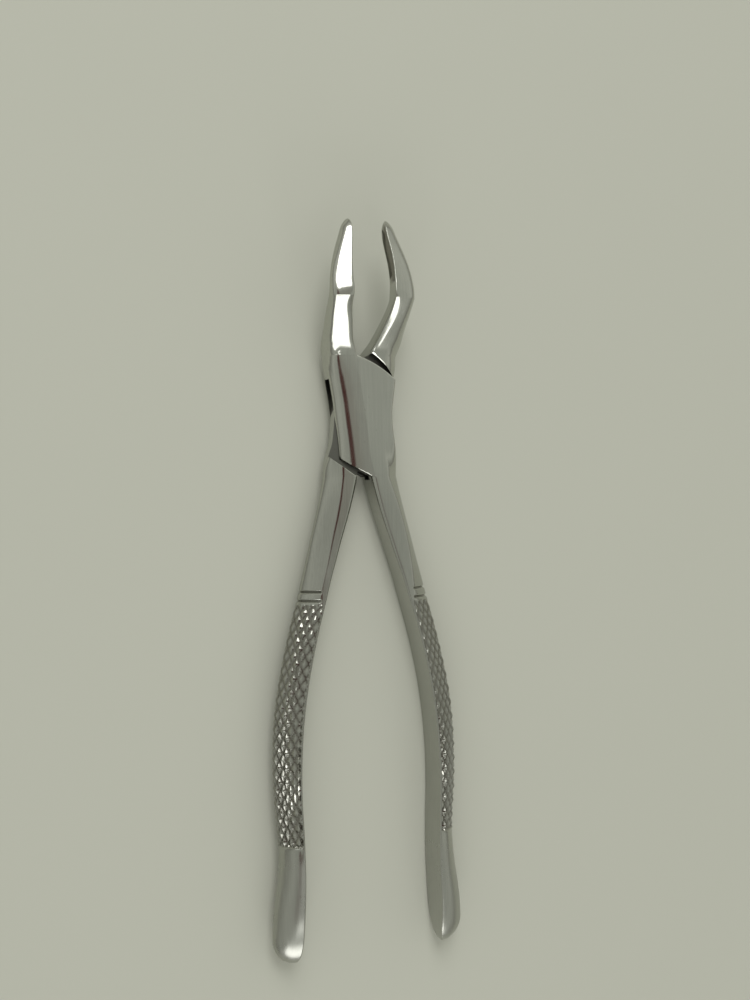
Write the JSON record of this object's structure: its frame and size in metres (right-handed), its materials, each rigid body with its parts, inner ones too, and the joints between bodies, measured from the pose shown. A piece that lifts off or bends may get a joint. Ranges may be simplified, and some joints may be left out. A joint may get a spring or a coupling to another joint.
{
  "type": "extraction forceps",
  "caption": "Dental extraction forceps with a riveted box joint, hollowed offset beaks and long curved handles with a flat inner face.",
  "frame": {"origin": "where the pivot axis meets the flat back face of the box joint", "axes": "+Y along the forceps to the beak tips, +Z along the pivot axis out of the joint's front face, +X to the right seen from the front, the way the jaws open"},
  "size_m": [0.048, 0.1735, 0.0174],
  "materials": {
    "satin_steel": "satin-polished stainless steel",
    "pin_steel": "satin stainless steel, riveted and ground flush"
  },
  "bodies": {
    "female_body": {"female_half": "satin_steel", "pivot_pin": "pin_steel"},
    "male_body": {"male_half": "satin_steel"}
  },
  "joints": [
    {"name": "box_joint", "type": "hinge", "parent": "female_body", "child": "male_body", "pos_m": [0, 0, 0], "axis": [0, 0, 1], "range_deg": [-20, 11]}
  ]
}
